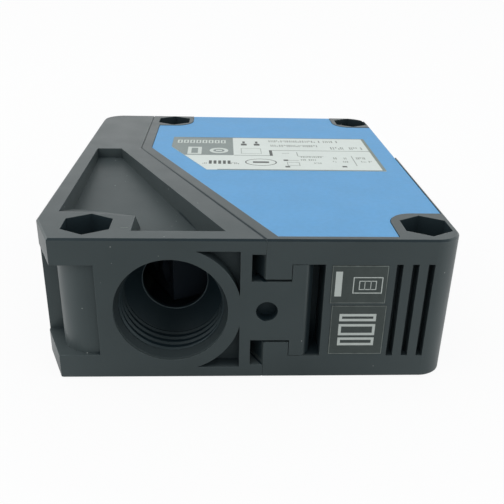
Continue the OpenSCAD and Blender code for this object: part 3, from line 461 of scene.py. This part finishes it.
def make_finishes():
    """One finish for each material slot of the record, the inks, and darker and paler copies of the black
    plastic that carry painted shade and a painted highlight.
    """
    return {
        # The black plastic's darker colour is painted shade for its pockets, gaps, front edges and seam.
        "moulded_black": moulded("black moulded plastic", rgb(70, 78, 79), 0.4, dust=0.95, edge=0.08,
                                 gloss_tint=COOL_GLOSS, painted_shade=rgb(28, 41, 47)),
        "seal_rubber": moulded("black seal rubber", rgb(20, 21, 22), 0.7, grain=0.004, wear=0.1, edge=0.1),
        # Black inner plastic, its own colour made darker and bluer as painted shade inside the cable hole.
        "inner_black": moulded("black inner plastic darkened as painted shade", rgb(14, 32, 46), 0.7, dust=0.1, wear=0.1, ior=1.3,
                               gloss_tint=COOL_GLOSS),
        "side_blue": printed("blue side foil", rgb(101, 164, 213), 0.6, 0.04, 1.42),
        "type_white": printed("white type foil", rgb(217, 224, 219), 0.55, 0.025, 1.4),
        "sticker_grey": printed("dark grey sticker foil", rgb(74, 82, 80), 0.5, 0.08),
        "window_dark": glassy("dark red optical window", rgb(88, 10, 15), 0.35, 0.08, 1.45),
        "lens_clear": glassy("clear lens", rgb(240, 244, 244), 1.0, 0.02, 1.49),
        "filter_grey": glassy("grey polarising film", rgb(120, 116, 126), 0.8, 0.05),
        "emitter_red": glassy("red emitter resin", rgb(190, 40, 40), 0.4, 0.15),
        "diode_dark": glassy("dark receiver resin", rgb(24, 28, 34), 0.3, 0.12),
        "board_green": printed("green solder resist", rgb(30, 104, 68), 0.35, 0.12),
        "screw_steel": metal("zinc-plated steel", rgb(190, 194, 198), 0.32),
        "relay_case": moulded("pale relay case", rgb(214, 218, 212), 0.45, dust=0.1, wear=0.0),
        "capacitor_sleeve": printed("dark capacitor sleeve", rgb(36, 42, 50), 0.35, 0.1),
        "chip_black": moulded("black chip resin", rgb(30, 31, 33), 0.55, dust=0.0, wear=0.1),
        "block_grey": moulded("dark grey terminal block", rgb(40, 50, 60), 0.5, dust=0.2, wear=0.1),
        "clamp_brass": metal("nickel-plated brass", rgb(204, 196, 166), 0.3),
        "adjuster_white": moulded("white adjuster plastic", rgb(222, 222, 216), 0.4, grain=0.004,
                                  dust=0.2, wear=0.0),
        "selector_yellow": moulded("yellow selector plastic", rgb(214, 176, 58), 0.4, grain=0.004,
                                   dust=0.2, wear=0.0),
        "potentiometer_blue": moulded("blue potentiometer case", rgb(46, 94, 166), 0.45,
                                      dust=0.0, wear=0.0),
        "switch_dark": moulded("dark switch case", rgb(58, 58, 62), 0.5, dust=0.0, wear=0.1),
        "pipe_green": glassy("green light pipe", rgb(60, 180, 80), 0.35, 0.15),
        "pipe_yellow": glassy("yellow light pipe", rgb(236, 176, 30), 0.35, 0.15),
        "led_pale": glassy("pale indicator resin", rgb(224, 224, 214), 0.4, 0.2),
        # Darker copies of the black plastic on the thread and the lead-in: painted shade inside the cable
        # entry.
        "entry shaded black": moulded("black plastic of the cable entry, darkened as painted shade", rgb(39, 50, 54), 0.45, dust=0.2,
                               gloss_tint=COOL_GLOSS),
        "lead-in shaded black": moulded("black plastic of the lead-in, darkened as painted shade", rgb(50, 58, 60), 0.45, dust=0.2,
                                 gloss_tint=COOL_GLOSS),
        # Pale copy of the black plastic: a painted highlight on the edge of the cable hole.
        "rubbed black": moulded("black plastic with painted highlight", rgb(82, 96, 101), 0.32, dust=0.0),
        "field ink": printed("grey field ink", rgb(138, 148, 145), 0.55, 0.03, 1.4),
        "dark ink": printed("dark print ink", rgb(90, 95, 92), 0.55, 0.05, 1.4),
        "faint ink": printed("faint print ink", rgb(146, 152, 146), 0.55, 0.05, 1.4),
        "pale ink": printed("pale print ink", rgb(206, 213, 208), 0.55, 0.03, 1.4),
        "edge ink": printed("olive grey of the plate's edges", rgb(132, 142, 134), 0.55, 0.05, 1.4),
        "sticker edge": printed("cut sticker edge", rgb(122, 130, 126), 0.5, 0.3),
    }


def dress_nodes(finishes):
    for node in frame["nodes"].values():
        slot = node.material_slots[0]
        slot.material = finishes[slot.material.name.split(".")[0]]


# Pieces that the frame's nodes carry

def make_piece(name, bm, finish):
    """Turns a bmesh that was worked out in millimetres into an object that rides on the sensor."""
    bmesh.ops.recalc_face_normals(bm, faces=bm.faces)
    for face in bm.faces:
        face.smooth = True
    for edge in bm.edges:
        edge.smooth = edge.calc_face_angle(math.pi) < SHARP_ANGLE
    bmesh.ops.scale(bm, vec=(MM, MM, MM), verts=bm.verts)
    mesh = bpy.data.meshes.new(name)
    bm.to_mesh(mesh)
    bm.free()
    mesh.materials.append(finish)
    piece = bpy.data.objects.new(name, mesh)
    bpy.context.collection.objects.link(piece)
    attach(piece, BODY)


def everything(bm):
    return list(bm.verts) + list(bm.edges) + list(bm.faces)


def cut_square(bm, place, outwards):
    """Cuts off what lies beyond a plane and closes the cut."""
    cut = bmesh.ops.bisect_plane(bm, geom=everything(bm), plane_co=place, plane_no=outwards, clear_outer=True)
    edges = [part for part in cut["geom_cut"] if isinstance(part, bmesh.types.BMEdge)]
    bmesh.ops.holes_fill(bm, edges=edges, sides=0)


def closed_outline(bm, places):
    """Corners and edges of a closed outline."""
    corners = [bm.verts.new(place) for place in places]
    return corners + [bm.edges.new((corners[i], corners[i - 1])) for i in range(len(corners))]


def spin_round_entry(bm, geom, steps, angle=math.tau, rise=0):
    """Turns an outline round the cable entry's middle line and moves it along by a rise at each step."""
    bmesh.ops.spin(bm, geom=geom, cent=(entry_middle.x, 0, entry_middle.z), axis=(0, 1, 0),
                   dvec=(0, rise, 0), angle=angle, steps=steps, use_merge=False)


def make_thread(finish):
    """The thread of the cable entry: a ridge wound along the wall, cut square at both ends."""
    bm = bmesh.new()
    start_y = front_y + THREAD_FROM - THREAD_PITCH
    section = ((THREAD_FOOT_R, -THREAD_HALF_FOOT), (THREAD_CREST_R, -THREAD_HALF_CREST),
               (THREAD_CREST_R, THREAD_HALF_CREST), (THREAD_FOOT_R, THREAD_HALF_FOOT))
    bm.faces.new([bm.verts.new((entry_middle.x + radius, start_y + along, entry_middle.z))
                  for radius, along in section])
    turns = (THREAD_TO - THREAD_FROM) / THREAD_PITCH + 2
    steps = round(turns * THREAD_STEPS)
    spin_round_entry(bm, everything(bm), steps, math.tau * steps / THREAD_STEPS, THREAD_PITCH / THREAD_STEPS)
    cut_square(bm, (0, front_y + THREAD_FROM, 0), (0, -1, 0))
    cut_square(bm, (0, front_y + THREAD_TO, 0), (0, 1, 0))
    make_piece("entry_thread", bm, finish)


def make_lead_in(finish):
    """The tapered ring between the entry's mouth and the first turn of the thread."""
    bm = bmesh.new()
    section = ((LEAD_IN_FOOT_R, LEAD_IN_FROM), (LEAD_IN_END_R, THREAD_FROM), (LEAD_IN_FOOT_R, THREAD_FROM))
    geom = closed_outline(bm, [(entry_middle.x + radius, front_y + along, entry_middle.z)
                               for radius, along in section])
    spin_round_entry(bm, geom, LEAD_IN_STEPS)
    bmesh.ops.remove_doubles(bm, verts=bm.verts, dist=WELD)
    make_piece("entry_lead_in", bm, finish)


def make_entry_lip(finish):
    """The fine raised lip round the cable hole, in a pale colour that is a painted highlight."""
    bm = bmesh.new()
    bmesh.ops.create_circle(bm, segments=LIP_SIDES, radius=LIP_R)
    bmesh.ops.translate(bm, vec=(entry_middle.x + LIP_MIDDLE_R, front_y + LIP_MIDDLE_Y, entry_middle.z),
                        verts=bm.verts)
    spin_round_entry(bm, everything(bm), LIP_STEPS)
    bmesh.ops.remove_doubles(bm, verts=bm.verts, dist=WELD)
    make_piece("entry_lip", bm, finish)


# Print, in millimetres, drawn on a flat sheet of ink: x runs right, y up and z off the surface

INK = 0.015
RING_STEPS = 32
STROKE_WIDTH = (0.28, 0.5)
STROKE_GAP = (0.3, 0.5)
FULL_STROKES = 0.55
LOW_STROKES = 0.2
HIGH_STROKES = 0.13
ON_TOP = Matrix.Identity(4)
ON_FRONT = Matrix.Rotation(math.radians(90), 4, "X")


def bar(bm, left, bottom, right, top):
    """A filled box of ink."""
    made = bmesh.ops.create_cube(bm, size=1)["verts"]
    bmesh.ops.scale(bm, vec=(right - left, top - bottom, 2 * INK), verts=made)
    bmesh.ops.translate(bm, vec=((left + right) / 2, (bottom + top) / 2, 0), verts=made)


def outline(bm, left, bottom, right, top, line):
    """A box drawn as four lines."""
    bar(bm, left, bottom, right, bottom + line)
    bar(bm, left, top - line, right, top)
    bar(bm, left, bottom + line, left + line, top - line)
    bar(bm, right - line, bottom + line, right, top - line)


def ring(bm, middle_x, middle_y, radius, line, stretch=1):
    """A drawn circle, or an oval where it is stretched sideways."""
    before = set(bm.verts)
    inner, outer = middle_x + radius - line, middle_x + radius
    geom = closed_outline(bm, ((inner, middle_y, -INK), (outer, middle_y, -INK),
                               (outer, middle_y, INK), (inner, middle_y, INK)))
    bmesh.ops.spin(bm, geom=geom, cent=(middle_x, middle_y, 0), axis=(0, 0, 1), angle=math.tau,
                   steps=RING_STEPS, use_merge=False)
    made = [vert for vert in bm.verts if vert not in before]
    bmesh.ops.scale(bm, vec=(stretch, 1, 1), verts=made, space=Matrix.Translation((-middle_x, 0, 0)))
    bmesh.ops.remove_doubles(bm, verts=made, dist=WELD)


def dashes(bm, left, bottom, right, top, pitch, draw):
    """A row of short strokes of different width, as small print looks from afar."""
    x = left
    middle = (bottom + top) / 2
    while x < right - pitch / 2:
        width = min(pitch * draw.uniform(*STROKE_WIDTH), right - x)
        stroke = draw.random()
        if stroke < FULL_STROKES:
            bar(bm, x, bottom, x + width, top)
        elif stroke < FULL_STROKES + LOW_STROKES:
            bar(bm, x, bottom, x + width, middle)
        elif stroke < FULL_STROKES + LOW_STROKES + HIGH_STROKES:
            bar(bm, x, middle, x + width, top)
        x += width + pitch * draw.uniform(*STROKE_GAP)


def make_print(name, bm, turn, place, finish):
    """Lays a drawn sheet on the surface that carries it."""
    bmesh.ops.transform(bm, matrix=Matrix.Translation(place) @ turn, verts=bm.verts)
    make_piece(name, bm, finish)


# Type plate: its marks as bar, outline, ring and dashes take them

FIELD_SPLIT_X = -1.35
FIELD_SPLIT_Y = 4.4
PALE_BOXES = [(x, 13.1, x + 1.0, 15.4, 0.3) for x in (-13.0, -11.7, -10.4, -9.1, -7.8, -6.5, -5.2, -3.9)]
PALE_BOXES.append((-10.6, 4.9, -7.8, 10.1, 0.75))
PALE_RING = (-4.3, 7.6, 1.9, 0.75)
PALE_BAR = (-4.9, 7.2, -3.7, 8.0)
SMALL_PRINT = ((6.3, 14.35, 21.9, 15.8, 0.6), (6.5, 10.9, 16.6, 12.3, 0.6), (18.9, 9.3, 25.7, 11.0, 0.6),
               (12.0, 3.2, 16.5, 3.9, 0.5), (11.8, 1.2, 15.0, 2.1, 0.5), (14.2, -0.8, 15.6, -0.1, 0.5),
               (18.0, 2.3, 21.2, 3.5, 0.5), (18.0, 0.2, 21.0, 1.1, 0.5), (23.0, 2.4, 25.0, 3.7, 0.5),
               (23.2, 0.4, 25.9, 1.3, 0.5), (-7.4, -1.5, -6.5, -0.6, 0.4), (-2.0, -1.5, -0.2, -0.5, 0.5))
SKETCH_BOXES = ((0.2, 5.6, 4.3, 9.4, 0.1), (8.9, -2.2, 11.3, 0.0, 0.12))
SKETCH_LINES = ((8.4, 6.0, 9.9, 6.15), (8.6, 1.2, 11.4, 1.35), (11.4, 4.0, 11.55, 6.9),
                (11.55, 4.0, 16.6, 4.15), (22.2, -2.0, 22.35, 4.6))
DARK_BARS = [(5.9, 8.0, plate_high.x - 0.6, 8.15), (-1.3, 4.3, 6.5, 4.45), (5.9, 4.3, 6.5, 8.0),
             (2.3, -0.6, 5.4, 0.35)]
DARK_BARS += [(x, 11.6, x + 1.2, 12.9) for x in (0.3, 3.0)]
DARK_BARS += [(x, 13.2, x + 0.5, 14.7) for x in (0.65, 3.35)]
DARK_BARS += [(x, -1.4, x + 0.55, 0.7) for x in (-6.2, -5.3, -4.4, -3.5, -2.6)]
DARK_BARS += [(x - 0.45, y - 0.4, x + 0.45, y + 0.4) for x, y in ((8.8, 1.3), (8.8, -2.9), (19.8, -2.5))]
DARK_RING = (3.85, -0.15, 2.2, 0.16, 1.4)
EDGE_LINE = 0.28
EDGE_BAND = 0.65


def make_grey_field(finish):
    """The grey part of the type plate, cut from a copy of the plate's own upper skin."""
    bm = bmesh.new()
    bm.from_mesh(frame["nodes"]["type_plate"].data)
    bmesh.ops.scale(bm, vec=(1 / MM, 1 / MM, 1 / MM), verts=bm.verts)
    bmesh.ops.remove_doubles(bm, verts=bm.verts, dist=WELD)
    cut_square(bm, (FIELD_SPLIT_X, 0, 0), (1, 0, 0))
    cut_square(bm, (0, FIELD_SPLIT_Y, 0), (0, -1, 0))
    cut_square(bm, (0, 0, plate_high.z - INK), (0, 0, -1))
    bmesh.ops.translate(bm, vec=(0, 0, INK), verts=bm.verts)
    make_piece("type_field", bm, finish)


def make_type_print(finishes):
    """The print of the type plate as plain blocks, lines and a small wiring sketch, and grey bands along its
    edges.
    """
    surface = (0, 0, plate_high.z)
    draw = random.Random(7)

    pale = bmesh.new()
    for box in PALE_BOXES:
        outline(pale, *box)
    ring(pale, *PALE_RING)
    bar(pale, *PALE_BAR)
    raised = (0, 0, plate_high.z + INK)
    make_print("type_pale_print", pale, ON_TOP, raised, finishes["pale ink"])

    faint = bmesh.new()
    for row in SMALL_PRINT:
        dashes(faint, *row, draw)
    for box in SKETCH_BOXES:
        outline(faint, *box)
    for line in SKETCH_LINES:
        bar(faint, *line)
    make_print("type_faint_print", faint, ON_TOP, surface, finishes["faint ink"])

    dark = bmesh.new()
    for line in DARK_BARS:
        bar(dark, *line)
    ring(dark, *DARK_RING)
    make_print("type_dark_print", dark, ON_TOP, surface, finishes["dark ink"])

    # Grey band along the right edge and lines along the lower and upper edges.
    border = bmesh.new()
    band_from = plate_high.x - EDGE_BAND
    bar(border, band_from, plate_low.y, plate_high.x, plate_high.y)
    bar(border, plate_low.x + 9.5, plate_low.y, band_from, plate_low.y + EDGE_LINE)
    bar(border, plate_low.x + 2, plate_high.y - EDGE_LINE, band_from, plate_high.y)
    make_print("type_edge_band", border, ON_TOP, surface, finishes["edge ink"])


# Stickers and a pale line: their marks in the same way

STICKER_BAR = (12.95, 14.4, 13.95, 18.5)
STICKER_BOXES = ((15.6, 14.9, 20.0, 17.6, 0.14), (16.5, 15.5, 19.1, 17.0, 0.12),
                 (14.0, 10.13, 19.6, 11.39, 0.42), (14.0, 7.66, 19.6, 9.63, 0.42),
                 (14.0, 5.85, 19.6, 7.25, 0.42))
STICKER_LINES = ((17.3, 15.5, 17.4, 17.0), (18.2, 15.5, 18.3, 17.0))
STICKER_EDGE = 0.1
PALE_LINE = (-18.5, -33.1, -17.4, -33.02)


def make_sticker_print(finishes):
    """The stickers' print as plain bars and boxes, and their cut edges."""
    surface = (0, upper_low.y, 0)
    pale = bmesh.new()
    for line in (STICKER_BAR, *STICKER_LINES):
        bar(pale, *line)
    for box in STICKER_BOXES:
        outline(pale, *box)
    make_print("sticker_pale_print", pale, ON_FRONT, surface, finishes["pale ink"])

    edges = bmesh.new()
    for low, high in ((upper_low, upper_high), (lower_low, lower_high)):
        outline(edges, low.x, low.z, high.x, high.z, STICKER_EDGE)
    make_print("sticker_edges", edges, ON_FRONT, surface, finishes["sticker edge"])


def make_pale_line(finish):
    """A short pale line beside the nut pocket at the cable entry."""
    bm = bmesh.new()
    bar(bm, *PALE_LINE)
    make_print("cover_pale_line", bm, ON_TOP, (0, 0, cover_high.z), finish)


# Floor and light

def make_floor():
    """Near white to the camera, dimmer as a source of light, and dark to gloss on the viewer's side."""
    bm = bmesh.new()
    bmesh.ops.create_grid(bm, x_segments=1, y_segments=1, size=FLOOR_HALF)
    mesh = bpy.data.meshes.new("floor")
    bm.to_mesh(mesh)
    bm.free()
    floor = bpy.data.objects.new("floor", mesh)
    bpy.context.collection.objects.link(floor)
    material = bpy.data.materials.new("pale floor")
    material.use_nodes = True
    material.node_tree.nodes.clear()
    made = Nodes(material.node_tree)
    path = made.node("ShaderNodeLightPath").outputs
    around = made.node("ShaderNodeTexCoord").outputs["Object"]
    mirrored = made.times(path["Is Glossy Ray"], made.away_from_viewer(around, FRONT_GLOSS, FLOOR_GLOSS))
    share = made.math("MAXIMUM", made.times(path["Is Camera Ray"], FLOOR_SEEN), mirrored)
    tone = made.between(path["Is Camera Ray"], 0, 1, FLOOR_BOUNCE, FLOOR_LIT)
    diffuse = made.node("ShaderNodeBsdfDiffuse", {"Color": tone}).outputs[0]
    glow = made.node("ShaderNodeEmission", {"Color": WHITE}).outputs[0]
    made.node("ShaderNodeOutputMaterial", {"Surface": made.either(share, diffuse, glow)})
    mesh.materials.append(material)


def make_world():
    """White to the camera. Gloss sees walls that fade to a dim ceiling, and nothing on the viewer's side."""
    world = bpy.data.worlds.new("studio")
    world.use_nodes = True
    world.node_tree.nodes.clear()
    made = Nodes(world.node_tree)
    path = made.node("ShaderNodeLightPath").outputs
    direction = made.node("ShaderNodeTexCoord").outputs["Generated"]
    walls = made.between(made.part(direction, "Z"), WALL_TOP, CEILING_FROM, WALL_GLOSS, CEILING_GLOSS,
                         smooth=True)
    dimmed = made.times(walls, made.away_from_viewer(direction, FRONT_GLOSS, 1.0))
    gloss, sky, white = [made.node("ShaderNodeBackground", {"Color": colour, "Strength": level}).outputs[0]
                         for colour, level in ((WHITE, dimmed), (SKY_COLOUR, SKY_LEVEL), (WHITE, 1.0))]
    lit = made.either(path["Is Glossy Ray"], sky, gloss)
    made.node("ShaderNodeOutputWorld", {"Surface": made.either(path["Is Camera Ray"], lit, white)})
    bpy.context.scene.world = world


def add_lamp(name, place, size, power):
    """A round softbox, aimed at the middle of the case."""
    data = bpy.data.lights.new(name, "AREA")
    data.shape = "DISK"
    data.size = size
    data.energy = power
    lamp = bpy.data.objects.new(name, data)
    lamp.location = place
    lamp.rotation_mode = "QUATERNION"
    lamp.rotation_quaternion = (Vector(LAMP_TARGET) - Vector(place)).to_track_quat("-Z", "Y")
    bpy.context.collection.objects.link(lamp)


bpy.context.scene.view_settings.view_transform = "Standard"
make_camera()
make_world()
make_floor()
add_lamp("key softbox", (-0.4, -0.1, 0.6), 0.9, 1.2)
add_lamp("fill softbox", (0.5, -0.3, 0.4), 0.6, 0.3)
finishes = make_finishes()
dress_nodes(finishes)
make_thread(finishes["entry shaded black"])
make_lead_in(finishes["lead-in shaded black"])
make_entry_lip(finishes["rubbed black"])
make_grey_field(finishes["field ink"])
make_type_print(finishes)
make_sticker_print(finishes)
make_pale_line(finishes["edge ink"])
